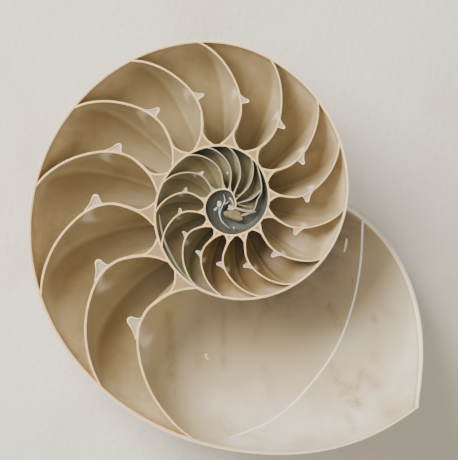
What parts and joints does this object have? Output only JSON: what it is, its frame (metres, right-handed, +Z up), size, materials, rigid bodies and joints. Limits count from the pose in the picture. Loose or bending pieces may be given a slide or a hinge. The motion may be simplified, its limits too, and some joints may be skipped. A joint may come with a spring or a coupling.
{
  "type": "nautilus shell half",
  "caption": "Half of a chambered nautilus shell, cut on its middle plane, lying on its convex side with the spiral of chambers facing up.",
  "frame": {"origin": "centre of the bounding box's base, on the surface that the shell lies on", "axes": "+Z up, +Y towards the top of the cut face, +X towards the side of the living chamber's mouth"},
  "size_m": [0.1432, 0.1464, 0.0483],
  "materials": {
    "shell": "satin nacre with matt sawn edges"
  },
  "bodies": {
    "root": {"nautilus_shell_half": "shell"}
  },
  "joints": []
}
